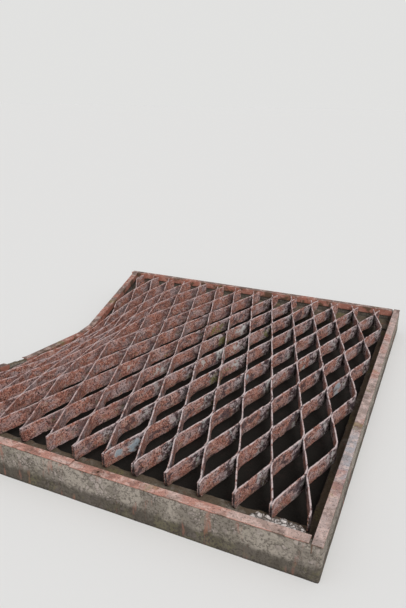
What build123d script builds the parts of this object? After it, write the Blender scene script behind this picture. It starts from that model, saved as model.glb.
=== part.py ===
# Cattle grid: a mesh of zigzag flat bars on edge, set in a pit rim with steel angle edges.
# X runs across the bars, Y runs along them, Z is up, in millimetres.
# The origin is on the floor, under the middle of the rim.
import os

from build123d import *

# Mesh of zigzag bars
bar_count = 27
bar_pitch = 88.5
bar_thickness = 8
bar_depth = 98
cell_length = 559
cells_along = 4.5
bond_length = 48
bend_reach = 10
front_stub = 22
back_run = 103

# Steel angle that edges the pit, one leg flat on the rim and one leg down the inner face
angle_leg = 50
angle_thickness = 6
side_gap = 42
front_gap = 93
back_gap = 12
bolt_hole = 14

# Pit rim
under_sag = 32
bearing = 48
side_ledge_width = 62
side_ledge_drop = 12
rim_crack = 12
base_thickness = 24

# Damage to the left edge: how far it is pushed in and has sagged, where its line bends
push_front, sag_front = 50, 0
push_before, sag_before = 230, 62
push_most, sag_most = 305, 70
push_after, sag_after = 298, 66
push_back, sag_back = 66, 0
bend_before = -460
bend_most = 40
bend_after = 200
crack_y = 110
front_piece_end = -640
bent_piece_start = -500

# Bars before this one are squeezed, the first of them by this share of the push
squeezed_bars = 7
squeeze_share = 0.9

# The rim is high enough to leave that room under the bars where they sag most
rim_height = bar_depth + sag_most + under_sag
mesh_width = bar_count * bar_pitch
mesh_length = cells_along * cell_length
frame_width = mesh_width + 2 * side_gap + 2 * angle_leg
front_room = front_stub + front_gap + angle_leg
back_room = back_run + back_gap + angle_leg
frame_length = mesh_length + front_room + back_room
left_side = -frame_width / 2
right_side = frame_width / 2
front_side = -frame_length / 2
back_side = frame_length / 2
ledge_height = rim_height - bar_depth
first_row = front_side + front_room
last_row = back_side - back_room
front_ledge_end = first_row + bearing
back_ledge_end = last_row - bearing
hinge_x = -mesh_width / 2 + squeezed_bars * bar_pitch

# Left edge as places along Y, each with its push inwards and its sag
left_edge = [
    (front_side, 0, 0),
    (front_ledge_end, push_front, sag_front),
    (bend_before, push_before, sag_before),
    (bend_most, push_most, sag_most),
    (bend_after, push_after, sag_after),
    (back_ledge_end, push_back, sag_back),
    (back_side, 0, 0),
]


def edge_at(y):
    """Push inwards and sag of the left edge at a place along it."""
    for (y1, push1, sag1), (y2, push2, sag2) in zip(left_edge, left_edge[1:]):
        if y <= y2:
            share = (y - y1) / (y2 - y1)
            return push1 + share * (push2 - push1), sag1 + share * (sag2 - sag1)
    return left_edge[-1][1], left_edge[-1][2]


def edge_places(start, end):
    """Places along the left edge where its line bends, between two ends."""
    inner = [y for y, push, sag in left_edge if start < y < end]
    return [start] + inner + [end]


def line_x(line, y):
    """Place across the grid of a line of bonds, squeezed near the left edge."""
    nominal = -mesh_width / 2 + line * bar_pitch
    share = max(0, 1 - line / squeezed_bars)
    return nominal + share * squeeze_share * edge_at(y)[0]


def angle_section(plane, outside, top, inward):
    """Section of an angle: a flat leg on the rim and a leg down its inner end."""
    corner = outside + inward * angle_leg
    with BuildSketch(plane) as section:
        with BuildLine():
            Polyline(
                (outside, top),
                (corner, top),
                (corner, top - angle_leg),
                (corner - inward * angle_thickness, top - angle_leg),
                (corner - inward * angle_thickness, top - angle_thickness),
                (outside, top - angle_thickness),
                close=True,
            )
        make_face()
    return section.sketch


def rim_section(plane, outside, top, inward, ledge, ledge_top):
    """Section of the rim: a narrow wall behind the angle and a ledge inside it."""
    wall = outside + inward * (angle_leg - angle_thickness)
    with BuildSketch(plane) as section:
        with BuildLine():
            Polyline(
                (outside, 0),
                (outside, top),
                (wall, top),
                (wall, ledge_top),
                (outside + inward * ledge, ledge_top),
                (outside + inward * ledge, 0),
                close=True,
            )
        make_face()
    return section.sketch


def outside_left(start, end):
    """Ground outside the bent left edge, to be cut from the end of a rim."""
    with BuildSketch() as outside:
        with BuildLine():
            Polyline(
                (left_side - 1, start),
                (left_side + edge_at(start)[0], start),
                (left_side + edge_at(end)[0], end),
                (left_side - 1, end),
                close=True,
            )
        make_face()
    return outside.sketch


def section_plane(y):
    """Plane across the grid at a place along Y, drawn as X and Z."""
    return Plane(origin=(0, y, 0), x_dir=(1, 0, 0), z_dir=(0, -1, 0))


def end_plane(x):
    """Plane along the grid at a place across it, drawn as Y and Z."""
    return Plane(origin=(x, 0, 0), x_dir=(0, 1, 0), z_dir=(1, 0, 0))


def save(piece, name):
    """Label a finished piece and write its STEP file."""
    piece.part.label = name
    export_step(piece.part, f"parts/{name}.step")


os.makedirs("parts", exist_ok=True)

# Directions across and along the grid
across = (1, 0, 0)
along = (0, 1, 0)

# Right angle, full length, with its square end showing at the front corner
with BuildPart() as right_angle:
    right_section = angle_section(section_plane(front_side), right_side, rim_height, -1)
    extrude(right_section, amount=frame_length, dir=along)
save(right_angle, "right_angle")

# Back angle, between the right angle and the left corner
corner_gap = 10
back_start = left_side
back_end = right_side - angle_leg - corner_gap
with BuildPart() as back_angle:
    back_section = angle_section(end_plane(back_start), back_side, rim_height, -1)
    extrude(back_section, amount=back_end - back_start, dir=across)
save(back_angle, "back_angle")

# Front angle in two lengths, with a joint where one has slipped
front_joint = 29
front_slip = 8
joint_gap = 5
hole_x = 190
with BuildPart() as front_angle_left:
    slipped_section = angle_section(end_plane(left_side), front_side + front_slip, rim_height, 1)
    extrude(slipped_section, amount=front_joint - left_side, dir=across)
save(front_angle_left, "front_angle_left")

front_start = front_joint + joint_gap
with BuildPart() as front_angle_right:
    front_section = angle_section(end_plane(front_start), front_side, rim_height, 1)
    front_end = right_side - angle_leg - corner_gap
    extrude(front_section, amount=front_end - front_start, dir=across)
    with Locations((hole_x, front_side + angle_leg / 2, rim_height)):
        Hole(radius=bolt_hole / 2, depth=angle_thickness)
save(front_angle_right, "front_angle_right")


def left_angle_length(start, end):
    """Sections of the left angle from one place to another along the bent edge."""
    for y in edge_places(start, end):
        push, sag = edge_at(y)
        add(angle_section(section_plane(y), left_side + push, rim_height - sag, 1))


# Left angle: the bent length, and a short length before the front corner
bent_hole_y = -50
with BuildPart() as left_angle_bent:
    left_angle_length(bent_piece_start, back_side - angle_leg)
    loft(ruled=True)
    hole_push, hole_sag = edge_at(bent_hole_y)
    face_x = left_side + hole_push + angle_leg
    hole_z = rim_height - hole_sag - angle_leg / 2
    with Locations(Plane(origin=(face_x, bent_hole_y, hole_z), z_dir=(1, 0, 0))):
        Hole(radius=bolt_hole / 2, depth=2 * angle_thickness)
save(left_angle_bent, "left_angle_bent")

with BuildPart() as left_angle_front:
    left_angle_length(front_side + front_slip + angle_leg, front_piece_end)
    loft(ruled=True)
save(left_angle_front, "left_angle_front")

# Rim, front and back, with the ledges that carry the bar ends
front_ledge_width = front_ledge_end - front_side
back_ledge_width = back_side - back_ledge_end
wall_top = rim_height - angle_thickness
with BuildPart() as front_rim:
    start = end_plane(left_side)
    extrude(
        rim_section(start, front_side, wall_top, 1, front_ledge_width, ledge_height),
        amount=frame_width,
        dir=across,
    )
    extrude(outside_left(front_side, front_ledge_end), amount=rim_height, mode=Mode.SUBTRACT)
    add(right_angle.part, mode=Mode.SUBTRACT)
save(front_rim, "front_rim")

with BuildPart() as back_rim:
    start = end_plane(left_side)
    extrude(
        rim_section(start, back_side, wall_top, -1, back_ledge_width, ledge_height),
        amount=frame_width,
        dir=across,
    )
    extrude(outside_left(back_ledge_end, back_side), amount=rim_height, mode=Mode.SUBTRACT)
    add(right_angle.part, mode=Mode.SUBTRACT)
save(back_rim, "back_rim")

# Rim, right side, with its wall carried over the ledges to both corners
side_width = angle_leg + side_ledge_width
side_ledge = ledge_height - side_ledge_drop
with BuildPart() as right_rim:
    extrude(
        rim_section(section_plane(front_side), right_side, wall_top, -1, side_width, side_ledge),
        amount=frame_length,
        dir=along,
    )
    add(front_rim.part, mode=Mode.SUBTRACT)
    add(back_rim.part, mode=Mode.SUBTRACT)
save(right_rim, "right_rim")


def left_rim_length(start, end):
    """Sections of the left rim from one place to another along the bent edge."""
    for y in edge_places(start, end):
        push, sag = edge_at(y)
        plane = section_plane(y)
        add(rim_section(plane, left_side + push, wall_top - sag, 1, side_width, side_ledge - sag))


# Rim, left side, cracked in two where it bends
with BuildPart() as left_rim_front:
    left_rim_length(front_side, crack_y - rim_crack / 2)
    loft(ruled=True)
    add(front_rim.part, mode=Mode.SUBTRACT)
    add(front_angle_left.part, mode=Mode.SUBTRACT)
save(left_rim_front, "left_rim_front")

with BuildPart() as left_rim_back:
    left_rim_length(crack_y + rim_crack / 2, back_side)
    loft(ruled=True)
    add(back_rim.part, mode=Mode.SUBTRACT)
    add(back_angle.part, mode=Mode.SUBTRACT)
save(left_rim_back, "left_rim_back")

# Base of the pit, between the four sides of the rim
with BuildPart() as pit_base:
    with BuildSketch():
        with BuildLine():
            left_places = edge_places(front_ledge_end, back_ledge_end)
            left_line = [(left_side + edge_at(y)[0] + side_width, y) for y in left_places]
            right_face = right_side - side_width
            right_line = [(right_face, back_ledge_end), (right_face, front_ledge_end)]
            Polyline(*left_line, *right_line, close=True)
        make_face()
    extrude(amount=base_thickness)
save(pit_base, "pit_base")

# Body of the squeezed part of the mesh, sagging towards the left edge
with BuildPart() as mesh_body:
    for y, push, sag in left_edge:
        inner_face = left_side + angle_leg + push
        with BuildSketch(section_plane(y)):
            with BuildLine():
                Polyline(
                    (hinge_x, rim_height),
                    (inner_face, rim_height - sag),
                    (inner_face, rim_height - sag - bar_depth),
                    (hinge_x, rim_height - bar_depth),
                    close=True,
                )
            make_face()
    loft(ruled=True)


def bond_place(bar, row):
    """Middle of a bar at one of its bonds, where it touches the next bar."""
    y = first_row + row * cell_length / 2
    on_left = (bar + row) % 2 == 1
    line = bar if on_left else bar + 1
    inset = bar_thickness / 2 if on_left else -bar_thickness / 2
    return line_x(line, y) + inset, y


def zigzag_corners(bar):
    """Corners of one bar: straight legs between bonds, a short flat at each bond."""
    rows = int(2 * cells_along) + 1
    corners = []
    for row in range(rows):
        x, y = bond_place(bar, row)
        before = front_stub if row == 0 else bond_length / 2
        corners.append((x, y - before))
        corners.append((x, y + bond_length / 2))
    next_x, next_y = bond_place(bar, rows)
    share = (back_run - bond_length / 2) / (cell_length / 2 - bond_length)
    corners.append((x + share * (next_x - x), y + back_run))
    return corners


def bent_line(corners):
    """Line through the corners, with each corner eased into a short bend."""
    line = [corners[0]]
    for before, corner, after in zip(corners, corners[1:], corners[2:]):
        for neighbour in (before, after):
            away = Vector(*neighbour) - Vector(*corner)
            line.append(Vector(*corner) + away.normalized() * bend_reach)
    line.append(corners[-1])
    return line


# Zigzag bars, numbered from the left
for bar in range(bar_count):
    with BuildPart() as zigzag_bar:
        with BuildSketch(Plane.XY.offset(rim_height)):
            with BuildLine():
                Polyline(*bent_line(zigzag_corners(bar)))
            trace(line_width=bar_thickness)
        if bar < squeezed_bars:
            extrude(amount=-(bar_depth + sag_most))
            add(mesh_body.part, mode=Mode.INTERSECT)
        else:
            extrude(amount=-bar_depth)
    save(zigzag_bar, f"zigzag_bar_{bar + 1:02d}")
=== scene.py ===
import math

import bmesh
import bpy
import numpy as np
from bpy.props import FloatProperty, FloatVectorProperty, IntProperty, PointerProperty
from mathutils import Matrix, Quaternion, Vector


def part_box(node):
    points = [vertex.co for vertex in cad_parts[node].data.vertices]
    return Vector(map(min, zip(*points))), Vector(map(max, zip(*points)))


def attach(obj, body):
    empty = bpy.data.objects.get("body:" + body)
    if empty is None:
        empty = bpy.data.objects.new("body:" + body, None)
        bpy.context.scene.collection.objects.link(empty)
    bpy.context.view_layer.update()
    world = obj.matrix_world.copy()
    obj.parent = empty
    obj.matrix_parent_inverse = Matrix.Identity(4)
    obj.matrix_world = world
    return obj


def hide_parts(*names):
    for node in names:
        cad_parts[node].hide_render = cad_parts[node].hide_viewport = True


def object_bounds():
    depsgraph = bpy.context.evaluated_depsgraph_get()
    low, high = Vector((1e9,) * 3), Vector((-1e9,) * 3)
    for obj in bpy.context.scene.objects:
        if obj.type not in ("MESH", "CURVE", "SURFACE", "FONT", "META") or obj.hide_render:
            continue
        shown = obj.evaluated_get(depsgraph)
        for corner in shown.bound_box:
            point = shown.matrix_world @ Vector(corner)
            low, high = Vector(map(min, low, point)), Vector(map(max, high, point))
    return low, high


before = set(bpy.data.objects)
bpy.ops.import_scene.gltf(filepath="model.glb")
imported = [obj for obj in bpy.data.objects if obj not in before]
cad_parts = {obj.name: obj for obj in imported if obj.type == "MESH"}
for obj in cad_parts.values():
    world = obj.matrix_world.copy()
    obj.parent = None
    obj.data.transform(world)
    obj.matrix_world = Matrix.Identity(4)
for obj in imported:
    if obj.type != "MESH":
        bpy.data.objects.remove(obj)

bl_info = {
    "name": "Cattle grid",
    "version": (1, 0, 0),
    "blender": (4, 5, 0),
    "location": "View3D > Sidebar > Cattle grid",
    "description": "Rusty zigzag bars, steel angles and an old rim, dressed around the packed grid",
    "category": "Object",
}

CAD_LOW, CAD_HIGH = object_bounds()
BAR_COUNT = sum(name.startswith("zigzag_bar_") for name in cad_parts)

# Eye of the photograph, found from the mesh's bonds, with the image taken as 406 by 608 pixels
FRAME_HEIGHT = 608
FOCAL_PIXELS = 556.4
EYE = (1.549, -3.206, 1.918)
EYE_HEADING = (-0.4086, 0.9127)
EYE_PITCH = 21.11
EYE_ROLL = 0.27
SENSOR_WIDTH = 36.0

# Soft light: each lamp's direction, strength and softness in degrees, the sky's colour and
# strength, and half the floor's side in metres
LAMPS = (
    ("key_light", (0.66, -0.66, 1.0), 2.0, 25),
    ("fill_light", (0.35, -0.93, 0.5), 0.55, 60),
)
SKY_COLOUR = (0.96, 0.98, 1.0)
SKY_STRENGTH = 0.42
FLOOR_HALF = 60.0

# Bends of the left edge: where along the grid, the push inwards and the sag, in metres
LEFT_BENDS = (
    (CAD_LOW.y, 0, 0),
    (-1.20975, 0.050, 0),
    (-0.46, 0.230, 0.062),
    (0.04, 0.305, 0.070),
    (0.20, 0.298, 0.066),
    (1.20975, 0.066, 0),
    (CAD_HIGH.y, 0, 0),
)

# Rust and wear of the bars, in metres: what each takes at most, and the legs' whole swing
SIDE_PITS, SIDE_HOLLOWS = 0.0009, 0.0008
TOP_WEAR, TOP_DENTS, TOP_NICKS = 0.0030, 0.0014, 0.006
FOOT_WEAR, FOOT_EATEN = 0.003, 0.008
LEG_BOW, LEG_LEAN = 0.007, 0.006

# Distances from a bond, in metres: where a leg is held and where it is free, and how far the
# rust is darkened by painted shade; and how far apart the bars read their noise
LEG_HELD, LEG_FREE = 0.03, 0.12
BOND_REACH, NOOK_NEAR, NOOK_FAR = 0.036, 0.02, 0.19
NOISE_APART = 0.37

# Ends of the bars, in metres: the most that they are cut short, and the length of the lower
# corner's curve, which is the least one and a random part of the front's or the back's
FRONT_CUT, BACK_CUT = 0.014, 0.022
CORNER_LEAST, CORNER_FRONT, CORNER_BACK = 0.016, 0.03, 0.035

# Wear of the angles, the rim and the base, in metres, and how far the base grows into the rim
ANGLE_WEAR, RIM_WEAR, BASE_WEAR = 0.0012, 0.005, 0.008
BASE_GROWTH = 0.035

# Rim, in metres: within what distance of the left wall or the floor a point is put on it, and
# between which distances from the back right corner the wear fades out
ON_WALL, ON_FLOOR = 0.007, 0.006
JOINT_FAR, JOINT_NEAR = 0.30, 0.24

# Distances in from the rim's outer faces, in metres, between which its inner faces turn dark with
# painted shade
OUTER_FADE = (0.040, 0.046)

# Broken mortar, in metres: its least reach and height, and the most that noise adds to each,
# the size and depth of its lumps, how clear it is of the angle and how deep it sits in the ledge
RUBBLE_REACH, REACH_MORE = 0.036, 0.020
RUBBLE_HEIGHT, HEIGHT_MORE = 0.087, 0.010
LUMP_SIZE, LUMP_DEPTH = 0.026, 0.012
RUBBLE_CLEAR, RUBBLE_SUNK = 0.0005, 0.004

# Rivet heads: how far they are sunk, in metres, and their shape in shares of the radius
RIVET_SUNK = 0.0008
HEAD_HEIGHT, HEAD_TIP, HEAD_BACK, HEAD_FOOT = 0.45, 0.12, -0.15, 0.9

# Large numbers that the noise's hash multiplies by
HASH_PRIMES = np.array([73856093, 19349663, 83492791])
HASH_SEED, HASH_STIR = 2654435761, 1274126177

# Steps of the meshes and half the length of a drill, in metres, and points along a bar
BAR_POINTS = 340
ANGLE_STEP = 0.012
DRILL_REACH = 0.02
ANGLE_ROUNDING = 0.0016
RIM_CELL = 0.010
BASE_CELL = 0.022


# Sizes and colours

def length(name, description, default):
    """A property for a length in metres."""
    return FloatProperty(
        name=name, description=description, default=default, unit="LENGTH", precision=4
    )


def colour(name, description, default):
    """A property for a colour."""
    return FloatVectorProperty(
        name=name, description=description, default=default, subtype="COLOR", min=0, max=1
    )


class GridSizes(bpy.types.PropertyGroup):
    """Sizes of the grid, in metres, before rust and wear."""

    bar_pitch: length("Bar pitch", "Distance between the lines of bonds", 0.0885)
    bar_thickness: length("Bar thickness", "Thickness of a zigzag bar before rust eats it", 0.009)
    bar_depth: length("Bar depth", "Height of a bar on edge", 0.098)
    cell_length: length("Cell length", "Length of one mesh cell along the bars", 0.559)
    rows: IntProperty(name="Rows", description="Rows of bonds along the grid", default=10)
    bond_length: length("Bond length", "Straight stretch where two bars touch", 0.048)
    front_stub: length("Front stub", "What a bar runs on past its first bond", 0.022)
    back_run: length("Back run", "What a bar runs on past its last bond", 0.103)
    bend_reach: length("Bend reach", "Length over which a bend is rounded", 0.034)
    angle_leg: length("Angle leg", "Width of each leg of the edge angle", 0.05)
    angle_thickness: length("Angle thickness", "Thickness of the edge angle", 0.006)
    front_slip: length("Front slip", "How far the left front angle has slipped in", 0.008)
    bolt_hole: length("Bolt hole", "Diameter of a bolt hole in an angle", 0.014)
    squeezed_bars: IntProperty(
        name="Squeezed bars", description="Bars pushed in on the left", default=7
    )
    squeeze_share: FloatProperty(
        name="Squeeze share", description="Part of the push that the first bar takes", default=0.9
    )
    hole_from_joint: length("Hole from joint", "From the front joint to the bolt hole", 0.156)
    left_hole_y: length("Left hole", "Place along the grid of the left angle's bolt hole", -0.05)
    rubble_start: length("Rubble start", "Where the broken mortar starts across the grid", 0.90)
    rubble_end: length("Rubble end", "Where the broken mortar ends across the grid", 1.215)
    rivet_radius: length("Rivet radius", "Radius of a rivet head at a bond", 0.0075)
    rivet_spacing: length("Rivet spacing", "Distance between the two rivets of a bond", 0.036)


class GridColours(bpy.types.PropertyGroup):
    """Colours of the grid's surfaces."""

    rust: colour("Red rust", "Red-brown rust of the left bars", (0.46, 0.165, 0.112))
    rust_brown: colour("Brown rust", "Brown-red rust of the right bars", (0.46, 0.190, 0.142))
    # Mauve rust, also laid as a painted sheen over the bars' faces
    mauve_rust_and_sheen: colour("Mauve rust", "Purplish grey rust near the bonds", (0.56, 0.465, 0.470))
    rust_pale: colour("Pale rust", "Pinkish dry rust", (0.82, 0.61, 0.54))
    # Dark rust of the pits, also laid as painted shade where a leg runs into the next bond
    dark_rust_and_shade: colour("Dark rust", "Brown-black pits in the rust", (0.040, 0.022, 0.019))
    rust_orange: colour("Orange rust", "Fresher rust", (0.44, 0.170, 0.095))
    # Also the purple-black of the zone near the bonds, which is partly painted shade
    scale: colour("Mill scale", "Purple-black scale in patches", (0.060, 0.042, 0.050))
    lichen: colour("Lichen", "Pale grey lichen on the faces", (0.66, 0.65, 0.62))
    # Grey-pink of worn top edges, partly a painted highlight
    worn_edge_and_highlight: colour("Worn edge", "Grey-pink of trodden top edges", (0.66, 0.54, 0.53))
    old_paint: colour("Old paint", "Pale blue-grey paint left in patches", (0.38, 0.46, 0.52))
    earth: colour("Earth", "Dried mud low on the bars", (0.085, 0.060, 0.036))
    moss: colour("Moss", "Yellow-green moss", (0.20, 0.19, 0.05))
    angle_pink: colour("Angle steel", "Pinkish brown of the edge angles", (0.52, 0.375, 0.33))
    angle_grey: colour("Worn angle", "Purple-grey steel where wheels cross", (0.42, 0.40, 0.415))
    angle_dark: colour("Dark angle", "Dark brown steel of the left edge", (0.165, 0.115, 0.100))
    concrete: colour("Concrete", "Old concrete of the rim", (0.205, 0.178, 0.148))
    sand: colour("Sand", "Paler sandy concrete", (0.33, 0.290, 0.245))
    stone: colour("Stone", "Pinkish stones showing in the concrete", (0.44, 0.37, 0.34))
    mortar: colour("Mortar", "Chalky broken mortar", (0.66, 0.60, 0.57))
    # Damp earth colour, also laid as painted shade on the rim's inner faces and in the crevices
    # round stones and mortar lumps
    damp: colour("Damp", "Dark damp earth on the concrete", (0.042, 0.034, 0.025))
    # Near-black silt, its darkness partly painted shade deep in the pit
    silt: colour("Silt", "Wet black silt on the pit's base", (0.012, 0.010, 0.008))
    floor: colour("Floor", "Pale studio floor", (0.80, 0.79, 0.775))
    background: colour("Background", "The floor's tone where it ends", (0.757, 0.756, 0.747))


def left_edge(y):
    """Push inwards and sag of the left edge: straight runs between the places where it bends."""
    places, push, sag = zip(*LEFT_BENDS)
    return np.interp(y, places, push), np.interp(y, places, sag)


# Noise and meshes

def cell_hash(cell):
    """A large whole number for each cell: its three steps times large primes, xored together."""
    x, y, z = np.moveaxis(cell * HASH_PRIMES, -1, 0)
    return x ^ y ^ z


def lattice_noise(points, size, seed=0):
    """Smooth random values from 0 to 1.

    Each corner of a cubic lattice of the given cell size gets a value by an integer hash, and a
    point takes the eight values round it, weighted by 3t^2 - 2t^3 along each axis.
    """
    place = np.asarray(points, float) / size
    cell = np.floor(place).astype(np.int64)
    part = place - cell
    part = part * part * (3 - 2 * part)
    total = np.zeros(place.shape[:-1])
    for corner in np.ndindex(2, 2, 2):
        mixed = cell_hash(cell + corner) ^ (seed * HASH_SEED)
        mixed = (mixed ^ (mixed >> 13)) * HASH_STIR
        value = ((mixed ^ (mixed >> 16)) & 0xFFFF) / 0xFFFF
        weight = np.prod(np.where(corner, part, 1 - part), axis=-1)
        total += value * weight
    return total


def rough(points, size, seed=0, layers=3):
    """Lattice noise in layers, each half the size and half the strength of the one before."""
    total = np.zeros(np.asarray(points).shape[:-1])
    weight = 0
    for layer in range(layers):
        total += lattice_noise(points, size / 2**layer, seed + layer) / 2**layer
        weight += 1 / 2**layer
    return total / weight


def ramp(value, low, high):
    """0 below low, 1 above high, and 3t^2 - 2t^3 between them."""
    share = np.clip((value - low) / (high - low), 0, 1)
    return share * share * (3 - 2 * share)


def write_attribute(mesh, key, values):
    """Keeps a value at each of a mesh's points, for the materials."""
    layer = mesh.attributes.new(key, "FLOAT", "POINT")
    layer.data.foreach_set("value", np.asarray(values, np.float32).ravel())


def make_mesh(name, points, faces, attributes=None, sharp=40):
    """A smooth mesh object from an array of points and lists of faces that point outwards.

    Edges between faces that meet at more than the sharp angle, in degrees, stay sharp.
    """
    flat = np.concatenate([np.asarray(face).ravel() for face in faces])
    sizes = np.concatenate([np.full(len(face), face.shape[1]) for face in faces])
    starts = np.concatenate([[0], np.cumsum(sizes)[:-1]])
    mesh = bpy.data.meshes.new(name)
    mesh.vertices.add(len(points))
    mesh.vertices.foreach_set("co", points.astype(np.float32).ravel())
    mesh.loops.add(len(flat))
    mesh.loops.foreach_set("vertex_index", flat.astype(np.int32))
    mesh.polygons.add(len(sizes))
    mesh.polygons.foreach_set("loop_start", starts.astype(np.int32))
    mesh.polygons.foreach_set("use_smooth", np.ones(len(sizes), bool))
    for key, values in (attributes or {}).items():
        write_attribute(mesh, key, values)
    mesh.update(calc_edges=True)
    mesh.set_sharp_from_angle(angle=math.radians(sharp))
    made = bpy.data.objects.new(name, mesh)
    bpy.context.scene.collection.objects.link(made)
    return made


def ring_faces(count, around):
    """Faces that join rings of points: quads between the rings, and a cap over each end.

    Ring i, point j joins to ring i, point j + 1 and to the same two points of ring i + 1.
    """
    index = np.arange(count * around).reshape(count, around)
    near, far = index[:-1], index[1:]
    quads = np.stack([near, np.roll(near, -1, 1), np.roll(far, -1, 1), far], -1).reshape(-1, 4)
    return quads, np.stack([index[0][::-1], index[-1]])


def skin(name, rings, attributes=None, sharp=40):
    """A closed skin through rings of points, with a flat face over each end.

    The sum of a . (b x c) over the fans of the quads is positive where they face outwards.
    """
    quads, caps = ring_faces(*rings.shape[:2])
    points = rings.reshape(-1, 3)
    a, b, c, d = (points[quads[:, i]] for i in range(4))
    volume = np.sum(a * np.cross(b, c)) + np.sum(a * np.cross(c, d))
    if volume < 0:
        quads, caps = quads[:, ::-1], caps[:, ::-1]
    return make_mesh(name, points, [quads, caps], attributes, sharp)


def outline(corners, step, rounding):
    """A closed section from its corners: each corner cut by a small curve, each side divided.

    A corner's curve is the quadratic between the two cut points, with the corner as its control
    point.
    """
    corners = np.asarray(corners, float)
    points = []
    for before, corner, after in zip(np.roll(corners, 1, 0), corners, np.roll(corners, -1, 0)):
        into = (before - corner) / np.linalg.norm(before - corner) * rounding
        out = (after - corner) / np.linalg.norm(after - corner) * rounding
        t = np.linspace(0, 1, 4)[:, None]
        points.append(corner + into * (1 - t) ** 2 + out * t**2)
        start = corner + out
        end = after + (corner - after) / np.linalg.norm(corner - after) * rounding
        pieces = max(2, int(round(np.linalg.norm(end - start) / step)))
        share = np.arange(1, pieces)[:, None] / pieces
        points.append(start + (end - start) * share)
    return np.concatenate(points)


def ring_normals(rings):
    """Outward directions on a skin: the cross product of its two grid directions."""
    around = np.roll(rings, -1, 1) - np.roll(rings, 1, 1)
    along = np.gradient(rings, axis=0)
    normal = np.cross(around, along)
    normal /= np.linalg.norm(normal, axis=-1, keepdims=True) + 1e-12
    middle = rings.mean(axis=1, keepdims=True)
    if np.sum(normal * (rings - middle)) < 0:
        normal = -normal
    return normal


def place_piece(piece, material, slot, *nodes):
    """Gives a piece its material and its body, and hides the solids that it stands for; the slot is
    not used.
    """
    piece.data.materials.clear()
    piece.data.materials.append(material)
    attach(piece, "root")
    if nodes:
        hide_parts(*nodes)


# Zigzag bars

def line_place(sizes, line, y):
    """Place across the grid of a line of bonds, squeezed in proportion near the left edge."""
    nominal = (line - BAR_COUNT / 2) * sizes.bar_pitch
    share = np.maximum(0, 1 - np.asarray(line) / sizes.squeezed_bars)
    return nominal + share * sizes.squeeze_share * left_edge(y)[0]


def mesh_half(sizes):
    """Half the distance from the first row of bonds to the last."""
    return (sizes.rows - 1) * sizes.cell_length / 4


def row_places(sizes):
    """Places along the grid of the rows of bonds, and of one more that the bars head for."""
    return np.arange(sizes.rows + 1) * sizes.cell_length / 2 - mesh_half(sizes)


def surface_height(sizes, x, y):
    """Height of the mesh's top: level, then sloping down to the sag of the left edge."""
    hinge = (sizes.squeezed_bars - BAR_COUNT / 2) * sizes.bar_pitch
    push, sag = left_edge(y)
    inner = CAD_LOW.x + sizes.angle_leg + push
    share = np.clip((hinge - x) / (hinge - inner), 0, 1)
    return CAD_HIGH.z - sag * share


def bar_middle(sizes, bar, y):
    """Middle line of a bar: flats at its bonds, legs between them, bends rounded.

    The straight runs are interpolated and then averaged over the bend's reach with a raised
    cosine, so each bend turns smoothly. Returns with it how far each point is from a bond, and
    from the next bond on the left and on the right.
    """
    row_y = row_places(sizes)
    on_left = (bar + np.arange(len(row_y))) % 2 == 1
    line = np.where(on_left, bar, bar + 1)
    inset = np.where(on_left, 1, -1) * sizes.bar_thickness / 2
    flat = sizes.bond_length / 2
    knot_y = np.stack([row_y - flat, row_y + flat], -1).ravel()
    knot_x = np.repeat(line_place(sizes, line, row_y) + inset, 2)
    offsets = np.linspace(-0.5, 0.5, 9) * sizes.bend_reach
    weights = 1 + np.cos(2 * math.pi * offsets / (sizes.bend_reach * 1.1))
    shifted = np.interp(y[:, None] + offsets, knot_y, knot_x)
    near_bond = np.min(np.abs(y[:, None] - row_y[:-1]), axis=1)
    to_left = np.min(np.abs(y[:, None] - row_y[on_left]), axis=1)
    to_right = np.min(np.abs(y[:, None] - row_y[~on_left]), axis=1)
    return shifted @ (weights / weights.sum()), near_bond, to_left, to_right


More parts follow.
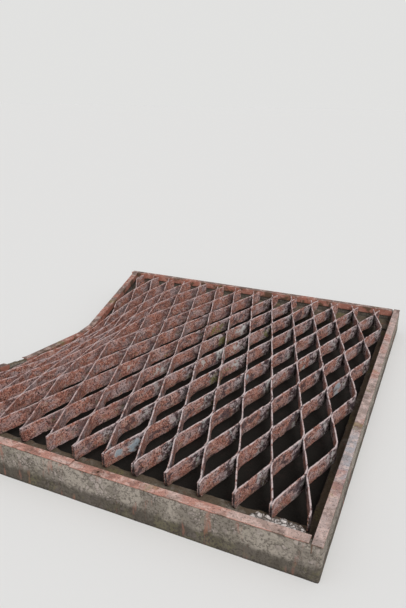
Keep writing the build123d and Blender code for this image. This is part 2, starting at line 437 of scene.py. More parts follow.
def bar_rings(sizes, bar):
    """Rings of points of one bar: a rounded flat section carried along the zigzag.

    Noise pits the sides, eats the lower edge, treads down and nicks the top edge, and bows and
    leans the legs between bonds. The lower corner of each end is cut along a quarter ellipse,
    0.9 times as high as it is long.
    """
    half = mesh_half(sizes)
    chance = np.random.default_rng(100 + bar)
    cut_front, cut_back, corner_front, corner_back = chance.uniform(0, 1, 4)
    start = -half - sizes.front_stub + FRONT_CUT * cut_front
    end = half + sizes.back_run - BACK_CUT * cut_back
    y = np.linspace(start, end, BAR_POINTS)
    x, near_bond, to_left, to_right = bar_middle(sizes, bar, y)
    line_points = np.stack([x, y, np.full_like(y, bar * NOISE_APART)], -1)
    free = ramp(near_bond, LEG_HELD, LEG_FREE)
    x = x + free * (lattice_noise(line_points, 0.23, 11) - 0.5) * LEG_BOW
    slope = np.gradient(x, y)
    side_x = 1 / np.sqrt(1 + slope**2)
    side_y = -slope * side_x

    down_steps = [0.10, 0.22, 0.36, 0.50, 0.64, 0.78, 0.90]
    half_down = [0.0, 0.004, 0.020] + down_steps + [0.980, 0.996, 1.0]
    half_side = [0.62, 0.90, 1.0] + [1.0] * len(down_steps) + [1.0, 0.88, 0.55]
    down = np.array(half_down + half_down[::-1])
    side = np.array(half_side + [-value for value in half_side[::-1]])

    top = surface_height(sizes, x, y)
    worn = TOP_WEAR * ramp(rough(line_points, 0.06, 21), 0.35, 0.8)
    worn = worn + TOP_DENTS * lattice_noise(line_points, 0.017, 26)
    nick = TOP_NICKS * ramp(lattice_noise(line_points, 0.035, 22), 0.86, 0.97)
    eaten = FOOT_EATEN * ramp(rough(line_points, 0.08, 27, 4), 0.55, 0.80)
    tall = sizes.bar_depth - FOOT_WEAR * rough(line_points, 0.03, 24) - eaten
    front_reach = CORNER_LEAST + CORNER_FRONT * corner_front
    back_reach = CORNER_LEAST + CORNER_BACK * corner_back
    for reach, inwards in ((front_reach, y - start), (back_reach, end - y)):
        from_end = np.clip(inwards / reach, 0, 1)
        tall -= reach * (1 - np.sqrt(1 - (1 - from_end) ** 2)) * 0.9
    lean = (lattice_noise(line_points, 0.4, 23) - 0.5) * LEG_LEAN * free

    ring_x = np.repeat(x[:, None], len(down), 1) + lean[:, None] * down
    ring_y = np.repeat(y[:, None], len(down), 1)
    ring_z = top[:, None] - (worn + nick)[:, None] * (1 - down) - tall[:, None] * down
    rings = np.stack([ring_x, ring_y, ring_z], -1)
    pits = SIDE_PITS * rough(rings, 0.022, 31 + bar)
    pits = pits + SIDE_HOLLOWS * ramp(rough(rings, 0.05, 61), 0.5, 0.75)
    thick = sizes.bar_thickness / 2 - pits
    rings[..., 0] += side * thick * side_x[:, None]
    rings[..., 1] += side * thick * side_y[:, None]
    to_next = np.where(side > 0, to_right[:, None], to_left[:, None])
    shape = rings.shape[:2]
    attributes = {
        "down": np.broadcast_to(down, shape),
        "bond": np.exp(-((to_next / BOND_REACH) ** 2)),
        "nook": 1 - ramp(to_next, NOOK_NEAR, NOOK_FAR),
        "tone": np.full(shape, np.random.default_rng(500 + bar).uniform()),
    }
    return rings, attributes


# Shader tools

class Wire:
    """A shader value that takes part in plain arithmetic, each step adding a Math node."""

    def __init__(self, nodes, socket):
        self.nodes = nodes
        self.socket = socket

    def step(self, operation, *values):
        """One Math node on the values given."""
        settings = {"operation": operation}
        return self.nodes.wire(0, "ShaderNodeMath", settings, dict(enumerate(values)))

    def __add__(self, other):
        return self.step("ADD", self, other)

    def __sub__(self, other):
        return self.step("SUBTRACT", self, other)

    def __rsub__(self, other):
        return self.step("SUBTRACT", other, self)

    def __mul__(self, other):
        return self.step("MULTIPLY", self, other)

    __radd__ = __add__
    __rmul__ = __mul__

    def between(self, low, high):
        """0 below low, 1 above high, smooth between them."""
        settings = {"interpolation_type": "SMOOTHSTEP"}
        inputs = {"Value": self, "From Min": low, "From Max": high}
        return self.nodes.wire(0, "ShaderNodeMapRange", settings, inputs)

    def below(self, low, high):
        """1 below low, 0 above high, smooth between them."""
        return 1 - self.between(low, high)

    def larger(self, other):
        """The larger of this value and another."""
        return self.step("MAXIMUM", self, other)

    def smaller(self, other):
        """The smaller of this value and another."""
        return self.step("MINIMUM", self, other)


class Nodes:
    """A tree of shader nodes, built up with short calls."""

    def __init__(self, tree):
        self.tree = tree

    def node(self, kind, settings=None, inputs=None):
        """Any node: its settings are set first, then the values or links of its sockets."""
        made = self.tree.nodes.new(kind)
        for key, value in (settings or {}).items():
            setattr(made, key, value)
        for key, value in (inputs or {}).items():
            self.feed(made.inputs[key], value)
        return made

    def wire(self, output, kind, settings=None, inputs=None):
        """One output of a new node."""
        return Wire(self, self.node(kind, settings, inputs).outputs[output])

    def feed(self, socket, value):
        """Links a wire to a socket, or sets a plain value on it."""
        if isinstance(value, Wire):
            self.tree.links.new(value.socket, socket)
        else:
            socket.default_value = value


class Surface(Nodes):
    """A node material with its textures and masks."""

    def __init__(self, name):
        self.material = bpy.data.materials.new(name)
        self.material.use_nodes = True
        super().__init__(self.material.node_tree)
        self.shader = self.tree.nodes["Principled BSDF"]
        self.place = self.wire("Object", "ShaderNodeTexCoord")
        self.along = self.stretched((1.0, 0.55, 1.0))

    def stretched(self, scale):
        """Object coordinates scaled along each axis."""
        return self.wire(0, "ShaderNodeMapping", None, {"Vector": self.place, "Scale": scale})

    def noise(self, scale, detail=3.0, roughness=0.55, place=None, distortion=0.0):
        """Noise from 0 to 1 at so many waves to the metre."""
        inputs = {
            "Vector": place or self.place,
            "Scale": scale,
            "Detail": detail,
            "Roughness": roughness,
            "Distortion": distortion,
        }
        return self.wire("Fac", "ShaderNodeTexNoise", None, inputs)

    def cells(self, scale, output="Distance", place=None):
        """Voronoi cells at so many to the metre."""
        inputs = {"Vector": place or self.place, "Scale": scale}
        return self.wire(output, "ShaderNodeTexVoronoi", None, inputs)

    def shaken(self, scale, amount):
        """Object coordinates moved on by noise from 0 to 1, times an amount in metres."""
        inputs = {"Vector": self.place, "Scale": scale}
        noise = self.wire("Color", "ShaderNodeTexNoise", None, inputs)
        inputs = {0: noise, 1: (amount,) * 3, 2: self.place}
        return self.wire(0, "ShaderNodeVectorMath", {"operation": "MULTIPLY_ADD"}, inputs)

    def chips(self, scale, place=None):
        """Distance to the edge of each Voronoi cell, and the cell's random colour made grey."""
        inputs = {"Vector": place or self.place, "Scale": scale}
        settings = {"feature": "DISTANCE_TO_EDGE"}
        edge = self.wire("Distance", "ShaderNodeTexVoronoi", settings, inputs)
        return edge, self.cells(scale, "Color", place) * 1.0

    def attribute(self, name):
        """A value that the mesh carries at its points."""
        return self.wire("Fac", "ShaderNodeAttribute", {"attribute_name": name})

    def facing_up(self):
        """The upward part of the surface's own direction."""
        normal = self.wire("Normal", "ShaderNodeNewGeometry")
        return self.wire("Z", "ShaderNodeSeparateXYZ", None, {0: normal})

    def axis(self, letter):
        """One of the object's coordinates, in metres."""
        return self.wire(letter, "ShaderNodeSeparateXYZ", None, {0: self.place})

    def mix(self, share, first, second):
        """From the first colour to the second."""
        inputs = {0: share, 6: tint(first), 7: tint(second)}
        return self.wire(2, "ShaderNodeMix", {"data_type": "RGBA"}, inputs)

    def spots(self, places):
        """1 at each of the places on the grid, falling to 0 at its radius."""
        total = 0
        for *centre, radius in places:
            inputs = {0: self.place, 1: centre}
            away = self.wire("Value", "ShaderNodeVectorMath", {"operation": "DISTANCE"}, inputs)
            total = total + away.below(radius * 0.5, radius)
        return total.smaller(1.0)

    def coat(self, share, colour):
        """Lays a colour over the surface's own, by the share of it that covers."""
        self.base = self.mix(share, self.base, colour)

    def finish(self, roughness, height, depth):
        """Feeds the colour, the roughness and a bump of so many metres to the shader."""
        inputs = {"Height": height, "Distance": depth, "Strength": 1.0}
        bump = self.wire(0, "ShaderNodeBump", None, inputs)
        return self.paint(self.base, roughness, 0.25, bump)

    def paint(self, base, roughness, gloss, normal=None):
        """Feeds the shader and gives the material."""
        self.feed(self.shader.inputs["Base Color"], base)
        self.feed(self.shader.inputs["Roughness"], roughness)
        self.feed(self.shader.inputs["Specular IOR Level"], gloss)
        if normal:
            self.feed(self.shader.inputs["Normal"], normal)
        return self.material


def tint(value):
    """A plain colour as four numbers; a wire is left as it is."""
    return value if isinstance(value, Wire) else (*value, 1.0)


# Materials

# Places of marks on the bars: X, Y, Z and radius, in metres
PAINT_PLACES = (
    (0.135, -1.16, 0.150, 0.050), (0.175, -1.07, 0.152, 0.060), (0.340, -1.01, 0.152, 0.070),
    (1.045, -0.02, 0.145, 0.065), (0.477, -0.14, 0.160, 0.040), (0.692, 0.356, 0.160, 0.050),
)
LICHEN_PLACES = (
    (-0.25, -0.34, 0.155, 0.060), (-0.08, -0.28, 0.155, 0.070), (0.21, 0.10, 0.160, 0.080),
    (-0.40, 0.09, 0.160, 0.050), (0.25, 0.24, 0.160, 0.080), (0.18, 0.56, 0.160, 0.080),
    (0.39, -0.01, 0.155, 0.070), (0.63, -0.15, 0.155, 0.080), (0.78, 0.22, 0.155, 0.070),
    (0.17, -0.09, 0.155, 0.050),
)
MOSS_PLACES = (
    (-0.03, 0.55, 0.150, 0.110), (0.37, 0.64, 0.150, 0.110), (0.39, -0.08, 0.140, 0.090),
    (-0.12, -0.03, 0.130, 0.080), (0.08, -0.01, 0.130, 0.080), (0.33, -0.20, 0.140, 0.090),
    (0.32, -0.43, 0.140, 0.100), (0.14, 0.36, 0.150, 0.090),
)


def bar_rust(s, colours):
    """Old rust: red-brown and pitted, with a painted sheen in patches and paler top edges that are
    partly a painted highlight; grey and dark where a leg runs into the next bond, partly painted
    shade.
    """
    down = s.attribute("down")
    bond_shade = s.attribute("bond")
    nook = s.attribute("nook")
    tone = s.attribute("tone")
    broad = s.noise(2.1, 3.0)
    patch = s.noise(13.0, 4.0, 0.6, s.along, 0.4)
    blotch = s.noise(42.0, 4.0, 0.62, s.along, 0.3)
    mottle = s.noise(85.0, 4.0, 0.68)
    fine = s.noise(190.0, 3.0, 0.7)
    pit = s.cells(62.0)
    right = (s.axis("X") + broad - 0.5).between(-0.30, 0.35)

    s.base = s.mix(right * 0.7 + tone * 0.3, colours.rust, colours.rust_brown)
    s.coat(mottle.between(0.50, 0.60) * 0.5, colours.rust_orange)
    s.coat(blotch.between(0.52, 0.58) * (0.15 + tone * 0.30), colours.rust_pale)
    s.coat(blotch.below(0.40, 0.47) * 0.30, colours.dark_rust_and_shade)
    s.coat(fine.between(0.54, 0.62) * 0.65, colours.rust_pale)
    # Grey-mauve veil in streaky patches: partly dry rust, partly a painted sheen of the sky on the
    # faces
    dry = s.noise(17.0, 4.0, 0.6, s.along, 0.3)
    s.coat(dry.between(0.45, 0.60) * (0.40 + tone * 0.25), colours.mauve_rust_and_sheen)

    # Towards the next bond each leg turns grey and purple-black: partly its own rust and lichen,
    # partly painted shade from the bar next to it
    ragged = nook * 0.9 + patch * 1.6 + blotch * 0.7 - 1.15
    zone = ragged.between(0.22, 0.52)
    greyer = blotch.between(0.44, 0.56) * (0.35 + right * 0.65)
    dulled_and_shaded = s.mix(greyer, colours.scale, colours.mauve_rust_and_sheen)
    s.coat(zone * (0.50 + right * 0.40), dulled_and_shaded)
    s.coat(mottle.below(0.40, 0.47) * 0.85, colours.dark_rust_and_shade)
    s.coat(fine.below(0.38, 0.45) * 0.75, colours.dark_rust_and_shade)
    holes = pit.below(0.16, 0.26) * blotch.between(0.40, 0.52)
    s.coat(holes * 0.75, colours.dark_rust_and_shade)
    flaking = patch * 0.7 + blotch * 0.3 - zone * 0.03
    scaled = flaking.below(0.42, 0.46) * down.between(0.06, 0.22)
    s.coat(scaled * (0.35 + right * 0.40), colours.scale)

    spotted = s.spots(LICHEN_PLACES)
    crust = s.noise(23.0, 5.0, 0.68)
    grey = (crust + spotted * 0.09 + zone * 0.05 - 0.05).between(0.555, 0.600)
    s.coat(grey * (0.15 + spotted * 0.45 + right * (0.10 + zone * 0.30)), colours.lichen)

    low = down.between(0.55, 1.0)
    mud = low * (broad * 0.4 + blotch * 0.6).between(0.50, 0.58)
    s.coat(mud * 0.6, colours.earth)
    damp = s.spots(MOSS_PLACES)
    growth = (s.noise(30.0, 4.0, 0.7) + damp * 0.10 + zone * 0.04 - 0.05).between(0.545, 0.585)
    s.coat(growth * down.between(0.10, 0.5) * (0.25 + damp * 0.50), colours.moss)

    near = s.spots(PAINT_PLACES)
    worn = blotch * 0.55 + patch * 0.45
    halo = (worn + near * 0.16).between(0.55, 0.60) * near.between(0.05, 0.4)
    s.coat(halo * 0.5 * down.between(0.1, 0.3), colours.lichen)
    flakes = (worn + near * 0.12).between(0.585, 0.615) * near.between(0.1, 0.5)
    paint = flakes * down.between(0.12, 0.28) * (1 - fine.between(0.52, 0.60) * 0.6)
    s.coat(paint * 0.9, colours.old_paint)

    # Painted shade: the rust darkens where a leg runs into the next bond, which shades it
    s.coat(bond_shade * down.between(0.03, 0.30) * 0.75, colours.dark_rust_and_shade)
    # Paler top edges: partly trodden wear, partly a painted highlight along them
    top = down.below(0.0, 0.05)
    trodden = top * blotch.between(0.40, 0.54) * (0.60 + right * 0.40)
    s.coat(trodden * 0.85, colours.worn_edge_and_highlight)

    dull = 0.93 - trodden * 0.2 - paint * 0.2
    height = mottle * 0.9 + blotch + fine * 0.4 - holes * 0.6 - scaled * 0.3 + paint * 0.3
    return s.finish(dull, height, 0.005)


def angle_rust(s, colours):
    """Thin rust: pinkish on the front angle, grey on the right, dark on the left and back."""
    up = s.facing_up().between(0.4, 0.9)
    blotch = s.noise(8.0, 5.0, 0.6)
    patch = s.noise(26.0, 4.0, 0.62)
    mottle = s.noise(90.0, 4.0, 0.7)
    speck = s.noise(220.0, 3.0, 0.65)
    x, y = s.axis("X"), s.axis("Y")
    middle = y.between(-1.15, -1.0) * y.below(-0.70, -0.35)
    trafficked = x.between(1.20, 1.25) * (0.25 + middle * 0.75)
    left = x.below(-1.0, -0.55).larger(y.between(1.30, 1.37))
    s.base = s.mix(trafficked, colours.angle_pink, colours.angle_grey)
    s.coat(left * 0.85, colours.angle_dark)
    front = y.below(-1.38, -1.34)
    redder = s.noise(3.0, 4.0, 0.6) + front * (0.08 - x.between(0.75, 1.05) * 0.12)
    s.coat(redder.between(0.48, 0.58) * 0.60, colours.rust)
    s.coat(blotch.between(0.54, 0.60) * 0.40, colours.dark_rust_and_shade)
    s.coat(patch.between(0.50, 0.60) * 0.45, colours.rust_pale)
    s.coat(mottle.below(0.38, 0.46) * 0.55, colours.dark_rust_and_shade)
    s.coat(mottle.between(0.54, 0.64) * 0.30, colours.rust_orange)
    s.coat(speck.between(0.58, 0.66) * 0.55, colours.dark_rust_and_shade)
    s.coat((1 - up) * 0.6, colours.rust)
    stained = s.noise(11.0, 4.0, 0.6).between(0.50, 0.60)
    s.coat(stained * (0.85 - up * 0.55), colours.earth)
    s.coat(s.noise(5.0, 5.0, 0.65).between(0.60, 0.66) * 0.4, colours.moss)
    dull = 0.85 + blotch * 0.10
    return s.finish(dull, mottle * 0.5 + patch * 0.8 + blotch + speck * 0.3, 0.003)


def old_concrete(s, colours):
    """Old concrete: earthy, with pinkish stones showing, damp low down, mossy in places, with
    painted shade on its inner faces and in the crevices round the stones.
    """
    up = s.facing_up().between(0.3, 0.9)
    grit = s.noise(260.0, 4.0, 0.7)
    sandy = s.noise(80.0, 4.0, 0.7)
    mottled = s.noise(8.0, 5.0, 0.62)
    run = s.noise(1.0, 5.0, 0.6, place=s.stretched((22.0, 22.0, 4.0)))
    height_up = s.axis("Z")

    s.base = s.mix(mottled.between(0.42, 0.58), colours.concrete, colours.sand)
    s.coat(sandy.below(0.40, 0.52) * 0.65, colours.damp)
    s.coat(grit.between(0.56, 0.66) * 0.45, colours.stone)
    bare = s.noise(5.0, 4.0).between(0.42, 0.56) * (1 - up * 0.75)
    bump = grit * 0.25 + sandy * 0.4 + mottled * 0.8
    shaken = s.shaken(60.0, 0.012)
    for scale, least in ((34.0, 0.66), (75.0, 0.62)):
        edge, tone = s.chips(scale, shaken)
        chosen = tone.between(least, least + 0.02) * bare
        showing = edge.between(0.10, 0.17) * chosen
        # Painted shade in the crevices round the stones that show
        s.coat(edge.below(0.04, 0.12) * chosen * 0.2, colours.damp)
        pebble = s.mix(tone.between(0.5, 0.75), colours.sand, colours.stone)
        s.coat(showing * 0.55, pebble)
        bump = bump + showing * 0.5

    low = height_up.below(0.01, 0.12)
    soaked = (low * 0.7 + run * 0.8).between(0.45, 0.80)
    s.coat(soaked * 0.75, colours.damp)
    s.coat(run.between(0.57, 0.68) * 0.35, colours.rust)
    ledge = up * height_up.below(0.13, 0.17)
    s.coat(ledge * mottled.between(0.30, 0.50) * 0.85, colours.earth)
    # Painted shade: the rim's faces that turn into the pit, away from its outer faces, darkened
    # with the damp colour
    s.coat((1 - up) * (1 - s.attribute("outer")) * 0.8, colours.damp)
    green = s.noise(6.0, 5.0, 0.65).between(0.51, 0.60) * sandy.between(0.42, 0.55)
    s.coat(green * (0.05 + low * 0.15 + ledge * 0.3), colours.moss)
    return s.finish(0.95, bump, 0.006)


def pale_rubble(s, colours):
    """Broken mortar: chalky lumps, with painted shade in the crevices between them."""
    edge, tone = s.chips(42.0, s.shaken(100.0, 0.008))
    grit = s.noise(240.0, 4.0, 0.7)
    s.base = s.mix(tone.between(0.30, 0.60), colours.stone, colours.mortar)
    s.coat(grit.below(0.38, 0.50) * 0.5, colours.earth)
    # Painted shade in the crevices between the lumps
    s.coat(edge.below(0.02, 0.10) * 0.8, colours.damp)
    s.coat(s.noise(14.0, 3.0).between(0.55, 0.62) * 0.4, colours.earth)
    return s.finish(0.95, grit * 0.3 + edge.between(0.0, 0.2), 0.006)


def silt_and_pit_shade(s, colours):
    """Wet black silt with crumbs of rust; its near-black is partly painted shade deep in the pit.
    """
    clod = s.noise(16.0, 5.0, 0.65)
    crumb = s.noise(120.0, 4.0, 0.7)
    s.base = s.mix(clod.between(0.50, 0.70) * 0.3, colours.silt, colours.dark_rust_and_shade)
    s.coat(crumb.between(0.62, 0.72) * 0.2, colours.earth)
    return s.finish(0.9, clod + crumb * 0.5, 0.006)


def made_once(recipe):
    """The material of one of the functions above, made when it is first asked for."""
    name = recipe.__name__
    ready = bpy.data.materials.get(name)
    return ready or recipe(Surface(name), bpy.context.scene.grid_colours)


# Angles and rims

def carried(section, low, high, along):
    """A section carried along X (0) or Y (1): its points hold the other of the two, and Z."""
    reach = high[along] - low[along]
    places = np.linspace(low[along], high[along], max(3, int(reach / ANGLE_STEP)))
    rings = np.empty((len(places), len(section), 3))
    rings[..., along] = places[:, None]
    rings[..., 1 - along] = section[:, 0]
    rings[..., 2] = section[:, 1]
    return rings


def rusted(rings, seed):
    """Eats a skin inwards along its normals: a fine noise, and 0.7 of a broad one."""
    fine, broad = rough(rings, 0.03, seed), rough(rings, 0.2, seed + 5, 2)
    amount = ANGLE_WEAR * fine + 0.7 * ANGLE_WEAR * broad
    return rings - ring_normals(rings) * amount[..., None]


def angle_section(sizes, outside, inward):
    """Section of an angle: a leg on top of the rim and a leg down at its inner end."""
    top = CAD_HIGH.z
    corner = outside + inward * sizes.angle_leg
    inner = corner - inward * sizes.angle_thickness
    corners = [
        (outside, top),
        (corner, top),
        (corner, top - sizes.angle_leg),
        (inner, top - sizes.angle_leg),
        (inner, top - sizes.angle_thickness),
        (outside, top - sizes.angle_thickness),
    ]
    return outline(corners, ANGLE_STEP, ANGLE_ROUNDING)


def settle(piece):
    """Makes what a piece's modifier gives its own mesh."""
    graph = bpy.context.evaluated_depsgraph_get()
    made = bpy.data.meshes.new_from_object(piece.evaluated_get(graph))
    piece.modifiers.clear()
    piece.data = made
    return piece


def drill(piece, centre, axis, diameter):
    """Cuts a bolt hole: a prism over the circle (cos a, sin a), turned to an axis, comes out."""
    turn = Vector((0, 0, 1)).rotation_difference(Vector(axis)).to_matrix()
    angle = np.linspace(0, 2 * math.pi, 25)[:-1]
    circle = np.stack([np.cos(angle), np.sin(angle), np.zeros_like(angle)], -1) * diameter / 2
    half_long = np.array([0, 0, DRILL_REACH])
    ends = np.stack([circle - half_long, circle + half_long])
    rings = ends @ np.array(turn).T + np.array(centre)
    cutter = skin("cutter", rings)
    cut = piece.modifiers.new("bolt_hole", "BOOLEAN")
    cut.object = cutter
    cut.solver = "EXACT"
    settle(piece)
    bpy.data.objects.remove(cutter)


class GRID_OT_bars(bpy.types.Operator):
    """Makes the zigzag bars of the mesh"""

    bl_idname = "grid.bars"
    bl_label = "Zigzag bars"

    def execute(self, context):
        sizes = context.scene.grid_sizes
        material = made_once(bar_rust)
        for bar in range(BAR_COUNT):
            rings, attributes = bar_rings(sizes, bar)
            piece = skin(f"rusty_bar_{bar + 1:02d}", rings, attributes)
            place_piece(piece, material, "bar_steel", f"zigzag_bar_{bar + 1:02d}")
        return {"FINISHED"}


class GRID_OT_rivets(bpy.types.Operator):
    """Makes rivet heads on both sides of each bond, but for the first and the last row"""

    bl_idname = "grid.rivets"
    bl_label = "Bond rivets"

    def execute(self, context):
        sizes = context.scene.grid_sizes
        inner_rows = np.arange(1, sizes.rows - 1)
        lines, rows = np.meshgrid(np.arange(1, BAR_COUNT), inner_rows, indexing="ij")
        joined = (lines + rows) % 2 == 1
        y = row_places(sizes)[rows[joined]]
        x = line_place(sizes, lines[joined], y)
        places, facing = [], []
        for step in (-0.5, 0.5):
            for direction in (-1, 1):
                at_y = y + step * sizes.rivet_spacing
                top = surface_height(sizes, x, at_y)
                at_x = x + direction * (sizes.bar_thickness - RIVET_SUNK)
                places.append(np.stack([at_x, at_y, top - sizes.bar_depth * 0.5], -1))
                facing.append(np.full(len(y), direction))
        places, facing = np.concatenate(places), np.concatenate(facing)
        piece = domes("bond_rivets", places, facing, sizes.rivet_radius)
        place_piece(piece, made_once(bar_rust), "bar_steel")
        return {"FINISHED"}


def domes(name, places, facing, radius):
    """Low domes standing out along X: x = h cos(a), y and z = r sin(a) round a circle.

    The angle a runs from 0 at the crown to a quarter turn at the rim, then in to a closed back.
    """
    rise = np.array([0.0, 0.45, 0.85, 1.25, math.pi / 2])
    turn = np.linspace(0, 2 * math.pi, 11)[:-1]
    out = np.concatenate([np.cos(rise) * HEAD_HEIGHT, [HEAD_BACK]]) * radius
    wide = np.concatenate([np.sin(rise), [HEAD_FOOT]]) * radius
    wide[0] = HEAD_TIP * radius
    out, wide = np.broadcast_arrays(out[:, None], wide[:, None] * np.ones(len(turn)))
    ring = np.stack([out, wide * np.cos(turn), wide * np.sin(turn)], -1)
    count, around = ring.shape[:2]
    rings = np.repeat(ring[None], len(places), 0)
    rings[..., 0] *= facing[:, None, None]
    rings += places[:, None, None, :]
    quads, caps = ring_faces(count, around)
    starts = np.arange(len(places))[:, None, None] * count * around
    flip = facing > 0
    all_quads = np.where(flip[:, None, None], quads[None, :, ::-1], quads[None]) + starts
    all_caps = np.where(flip[:, None, None], caps[None, :, ::-1], caps[None]) + starts
    faces = [all_quads.reshape(-1, 4), all_caps.reshape(-1, around)]
    plain = np.zeros(rings.shape[:3])
    attributes = {"down": plain + 0.5, "bond": plain, "nook": plain + 0.3, "tone": plain + 0.5}
    return make_mesh(name, rings.reshape(-1, 3), faces, attributes, 60)


class GRID_OT_angles(bpy.types.Operator):
    """Makes the steel angles that cap the edges of the pit"""

    bl_idname = "grid.angles"
    bl_label = "Edge angles"

    def execute(self, context):
        sizes = context.scene.grid_sizes
        leg = sizes.angle_leg
        material = made_once(angle_rust)
        for node, outside, inward, along, seed in (
            ("back_angle", CAD_HIGH.y, -1, 0, 10),
            ("front_angle_left", CAD_LOW.y + sizes.front_slip, 1, 0, 16),
            ("front_angle_right", CAD_LOW.y, 1, 0, 17),
            ("right_angle", CAD_HIGH.x, -1, 1, 14),
            ("left_angle_bent", CAD_LOW.x, 1, 1, 18),
            ("left_angle_front", CAD_LOW.x, 1, 1, 19),
        ):
            low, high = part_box(node)
            rings = carried(angle_section(sizes, outside, inward), low, high, along)
            if node.startswith("left"):
                push, sag = left_edge(rings[:, 0, 1])
                rings[..., 0] += push[:, None]
                rings[..., 2] -= sag[:, None]
            piece = skin(node + "_steel", rusted(rings, seed))
            if node == "front_angle_right":
                hole = (low.x + sizes.hole_from_joint, CAD_LOW.y + leg / 2, CAD_HIGH.z)
                drill(piece, hole, (0, 0, 1), sizes.bolt_hole)
            if node == "left_angle_bent":
                push, sag = left_edge(sizes.left_hole_y)
                hole = (CAD_LOW.x + push + leg, sizes.left_hole_y, CAD_HIGH.z - sag - leg / 2)
                drill(piece, hole, (1, 0, 0), sizes.bolt_hole)
            place_piece(piece, material, "angle_steel", node)
        return {"FINISHED"}


def even_copy(name, nodes, cell):
    """Copies of touching solids, their doubles merged, remeshed as one into even faces."""
    shape = bmesh.new()
    for node in nodes:
        shape.from_mesh(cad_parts[node].data)
    bmesh.ops.remove_doubles(shape, verts=shape.verts, dist=1e-5)
    mesh = bpy.data.meshes.new(name)
    shape.to_mesh(mesh)
    shape.free()
    piece = bpy.data.objects.new(name, mesh)
    bpy.context.scene.collection.objects.link(piece)
    even = piece.modifiers.new("even", "REMESH")
    even.mode = "VOXEL"
    even.voxel_size = cell
    return settle(piece)


def stone_nearness(points, size, seed):
    """How near each point is to the middle of a stone, from 1 to 0.

    Each cell of a cubic lattice holds one stone at a hashed place; the nearest of the 27 cells
    round a point counts, and its distance is taken as a share of the cell's size.
    """
    place = points / size
    cell = np.floor(place).astype(np.int64)
    least = np.full(len(points), 9.0)
    for step in np.ndindex(3, 3, 3):
        corner = cell + np.array(step) - 1
        mixed = (cell_hash(corner) ^ (seed * 97)) * HASH_STIR
        jitter = np.stack([(mixed >> 8) & 255, (mixed >> 16) & 255, (mixed >> 24) & 255], -1) / 255
        least = np.minimum(least, np.linalg.norm(corner + jitter - place, axis=1))
    return 1 - np.clip(least, 0, 1)


def averaged(values, edges, passes):
    """Each point's value averaged with its neighbours' along the edges, so many times."""
    degree = np.bincount(edges.ravel(), minlength=len(values))[:, None] + 1
    for _ in range(passes):
        total = values.copy()
        np.add.at(total, edges[:, 0], values[edges[:, 1]])
        np.add.at(total, edges[:, 1], values[edges[:, 0]])
        values = total / degree
    return values


def read_points(collection, key):
    """A mesh's points or directions as an array of three columns."""
    values = np.empty(len(collection) * 3, np.float32)
    collection.foreach_get(key, values)
    return values.reshape(-1, 3).astype(float)


def move_points(mesh, points):
    """Puts a mesh's points at new places."""
    mesh.vertices.foreach_set("co", points.astype(np.float32).ravel())
    mesh.update()


def from_left_wall(place):
    """How far in from the pushed-in left wall each point is."""
    return place[:, 0] - CAD_LOW.x - left_edge(place[:, 1])[0]


def weather(piece, depth, seed, bite=3.0, grow=0.0):
    """Wears a concrete piece inwards along its normals.

    The remesh leaves small steps on the slanted left side: points near that side or the floor
    are put on it, and all are averaged with their neighbours. The wear is layered noise, less
    where a stone shows; near edges, found where the averaged normals of neighbouring points grow
    short, noise past a threshold bites deeper. There is hardly any wear near the floor and at
    the joint at the back right, so that the two lengths meet. Its sides grow into the pieces
    around it where asked, so that no gap opens there.
    """
    mesh = piece.data
    edges = np.empty(len(mesh.edges) * 2, np.int32)
    mesh.edges.foreach_get("vertices", edges)
    edges = edges.reshape(-1, 2)
    place = read_points(mesh.vertices, "co")
    from_left = from_left_wall(place)
    place[:, 0] -= np.where(np.abs(from_left) < ON_WALL, from_left, 0)
    on_floor = place[:, 2] < ON_FLOOR
    place = averaged(place, edges, 3)
    place[on_floor, 2] = 0
    move_points(mesh, place)
    normals = read_points(mesh.vertex_normals, "vector")
    edge = ramp(1 - np.linalg.norm(averaged(normals, edges, 5), axis=1), 0.02, 0.22)
    wear = depth * (0.25 + 0.75 * rough(place, 0.07, seed, 4))
    wear *= 1 - 0.9 * ramp(stone_nearness(place, 0.045, seed), 0.62, 0.74)
    wear += depth * bite * edge * ramp(rough(place, 0.11, seed + 7), 0.42, 0.72)
    wear *= 0.06 + 0.94 * ramp(place[:, 2], 0.0, 0.06)
    joint = 1
    for values, limit in ((place[:, 0], CAD_HIGH.x), (place[:, 1], CAD_HIGH.y)):
        joint = joint * ramp(values, limit - JOINT_FAR, limit - JOINT_NEAR)
    wear *= 1 - 0.95 * joint
    if grow:
        sides = np.abs(normals[:, 2]) < 0.9
        normals[sides, 2] = 0
        normals[sides] /= np.linalg.norm(normals[sides], axis=1, keepdims=True)
        wear[sides] = -grow
    moved = place - normals * wear[:, None]
    moved[:, 2] = np.maximum(moved[:, 2], 0)
    mesh.polygons.foreach_set("use_smooth", np.ones(len(mesh.polygons), bool))
    from_sides = np.minimum(from_left_wall(place), CAD_HIGH.x - place[:, 0])
    from_outside = np.minimum(from_sides, CAD_HIGH.y - np.abs(place[:, 1]))
    write_attribute(mesh, "outer", 1 - ramp(from_outside, *OUTER_FADE))
    move_points(mesh, moved)
    return piece


# Lengths of the rim, parted at the crack and at a joint at the back right corner, and seeds
RIM_LENGTHS = (
    ("rim_front_and_sides", ["front_rim", "left_rim_front", "right_rim"], 19),
    ("rim_back_and_left", ["back_rim", "left_rim_back"], 17),
)


class GRID_OT_rims(bpy.types.Operator):
    """Makes the weathered concrete rim of the pit and its silted base, whose near-black is partly
    painted shade
    """

    bl_idname = "grid.rims"
    bl_label = "Pit rim"

    def execute(self, context):
        material = made_once(old_concrete)
        for name, nodes, seed in RIM_LENGTHS:
            piece = weather(even_copy(name, nodes, RIM_CELL), RIM_WEAR, seed)
            place_piece(piece, material, "rim_concrete", *nodes)
        base = even_copy("silted_and_shaded_base", ["pit_base"], BASE_CELL)
        piece = weather(base, BASE_WEAR, 230, bite=0.5, grow=BASE_GROWTH)
        place_piece(piece, made_once(silt_and_pit_shade), "rim_concrete", "pit_base")
        return {"FINISHED"}


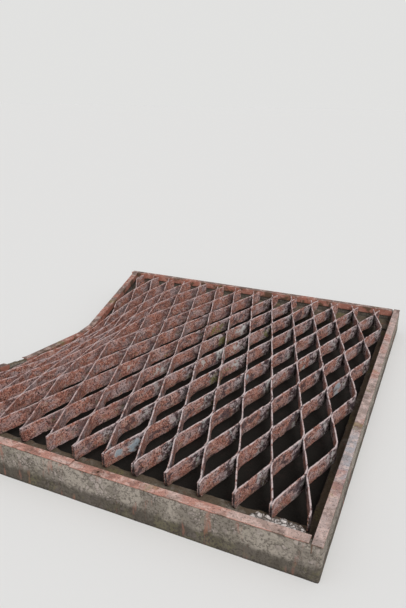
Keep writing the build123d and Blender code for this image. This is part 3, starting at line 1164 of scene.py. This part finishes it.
class GRID_OT_rubble(bpy.types.Operator):
    """Makes the broken mortar left inside the front angle, near the right corner"""

    bl_idname = "grid.rubble"
    bl_label = "Broken mortar"

    def execute(self, context):
        # A block's section, its reach and height from noise and less at both ends, carried along
        # the angle and worn in between its lumps
        sizes = context.scene.grid_sizes
        back = CAD_LOW.y + sizes.angle_leg
        ledge = CAD_HIGH.z - sizes.bar_depth
        start, end = sizes.rubble_start, sizes.rubble_end
        places = np.linspace(start, end, 150)
        corners = [(0.0, 0.0), (0.0, 1.0), (1.0, 1.0), (1.15, 0.0)]
        section = outline(corners, 0.055, 0.06)
        line = np.stack([places, np.zeros_like(places), np.full_like(places, 0.5)], -1)
        taper = ramp(places, start, start + 0.06) * (1 - ramp(places, end - 0.03, end))
        reach = RUBBLE_REACH + REACH_MORE * rough(line, 0.06, 301)
        reach = reach * (0.35 + 0.65 * taper)
        tall = RUBBLE_HEIGHT + HEIGHT_MORE * rough(line, 0.05, 305)
        tall = tall * (0.2 + 0.8 * taper) + RUBBLE_SUNK
        rings = np.empty((len(places), len(section), 3))
        rings[..., 0] = places[:, None]
        rings[..., 1] = back + RUBBLE_CLEAR + reach[:, None] * section[:, 0]
        rings[..., 2] = ledge - RUBBLE_SUNK + tall[:, None] * section[:, 1]
        lumps = stone_nearness(rings.reshape(-1, 3), LUMP_SIZE, 311).reshape(rings.shape[:2])
        free = ramp(section[:, 0], 0.05, 0.5)
        wear = LUMP_DEPTH * (1 - ramp(lumps, 0.35, 0.75)) * free
        rings -= ring_normals(rings) * wear[..., None]
        piece = skin("broken_mortar", rings)
        place_piece(piece, made_once(pale_rubble), "rim_concrete")
        return {"FINISHED"}


def studio_world(colours):
    """Soft light from all round, and the background's colour where the camera or gloss sees it."""
    world = bpy.data.worlds.new("studio")
    world.use_nodes = True
    world.node_tree.nodes.clear()
    nodes = Nodes(world.node_tree)
    path = nodes.node("ShaderNodeLightPath")
    seen = Wire(nodes, path.outputs["Is Camera Ray"])
    for kind in ("Is Glossy Ray", "Is Transmission Ray"):
        seen = seen.larger(Wire(nodes, path.outputs[kind]))
    lit = {"Color": tint(SKY_COLOUR), "Strength": SKY_STRENGTH}
    sky = nodes.wire(0, "ShaderNodeBackground", None, lit)
    back = nodes.wire(0, "ShaderNodeBackground", None, {"Color": tint(colours.background)})
    shown = nodes.wire(0, "ShaderNodeMixShader", None, {0: seen, 1: sky, 2: back})
    nodes.node("ShaderNodeOutputWorld", None, {"Surface": shown})
    return world


def stand(name, data, place, turn):
    """Stands a lamp or the camera at a place, turned."""
    holder = bpy.data.objects.new(name, data)
    holder.location = place
    holder.rotation_euler = turn.to_euler()
    bpy.context.scene.collection.objects.link(holder)
    return holder


class GRID_OT_stage(bpy.types.Operator):
    """Makes the floor, the soft light and the camera"""

    bl_idname = "grid.stage"
    bl_label = "Stage"

    def execute(self, context):
        scene = context.scene
        colours = scene.grid_colours
        ends = np.array([(-1, -1, 0), (1, -1, 0), (1, 1, 0), (-1, 1, 0)], float)
        floor = make_mesh("floor", ends * FLOOR_HALF, [np.array([[0, 1, 2, 3]])])
        paint = Surface("floor_paint").paint(tint(colours.floor), 0.9, 0.0)
        floor.data.materials.append(paint)
        scene.world = studio_world(colours)

        for name, source, strength, softness in LAMPS:
            lamp = bpy.data.lights.new(name, "SUN")
            lamp.energy, lamp.angle = strength, math.radians(softness)
            turn = (-Vector(source)).to_track_quat("-Z", "Y")
            stand(name, lamp, source, turn)

        camera = bpy.data.cameras.new("camera")
        camera.sensor_width = SENSOR_WIDTH
        camera.lens = SENSOR_WIDTH * FOCAL_PIXELS / FRAME_HEIGHT
        pitch, roll = math.radians(EYE_PITCH), math.radians(EYE_ROLL)
        heading = Vector((*EYE_HEADING, 0)).normalized() * math.cos(pitch)
        aim = Vector((heading.x, heading.y, -math.sin(pitch)))
        turn = aim.to_track_quat("-Z", "Y") @ Quaternion((0, 0, 1), roll)
        scene.camera = stand("camera", camera, EYE, turn)
        scene.view_settings.view_transform = "Standard"
        return {"FINISHED"}


class GRID_PT_panel(bpy.types.Panel):
    """Lists the grid's pieces in the sidebar"""

    bl_idname = "GRID_PT_panel"
    bl_label = "Cattle grid"
    bl_space_type = "VIEW_3D"
    bl_region_type = "UI"
    bl_category = "Cattle grid"

    def draw(self, context):
        for kind in OPERATORS:
            self.layout.operator(kind.bl_idname)
        for group in (context.scene.grid_sizes, context.scene.grid_colours):
            for key in group.__annotations__:
                self.layout.prop(group, key)


OPERATORS = (
    GRID_OT_bars,
    GRID_OT_rivets,
    GRID_OT_angles,
    GRID_OT_rims,
    GRID_OT_rubble,
    GRID_OT_stage,
)
CLASSES = (GridSizes, GridColours, *OPERATORS, GRID_PT_panel)


def register():
    for kind in CLASSES:
        bpy.utils.register_class(kind)
    bpy.types.Scene.grid_sizes = PointerProperty(type=GridSizes)
    bpy.types.Scene.grid_colours = PointerProperty(type=GridColours)


def unregister():
    del bpy.types.Scene.grid_colours
    del bpy.types.Scene.grid_sizes
    for kind in reversed(CLASSES):
        bpy.utils.unregister_class(kind)


def main():
    register()
    bpy.ops.grid.bars()
    bpy.ops.grid.rivets()
    bpy.ops.grid.angles()
    bpy.ops.grid.rims()
    bpy.ops.grid.rubble()
    bpy.ops.grid.stage()


if __name__ == "__main__":
    main()
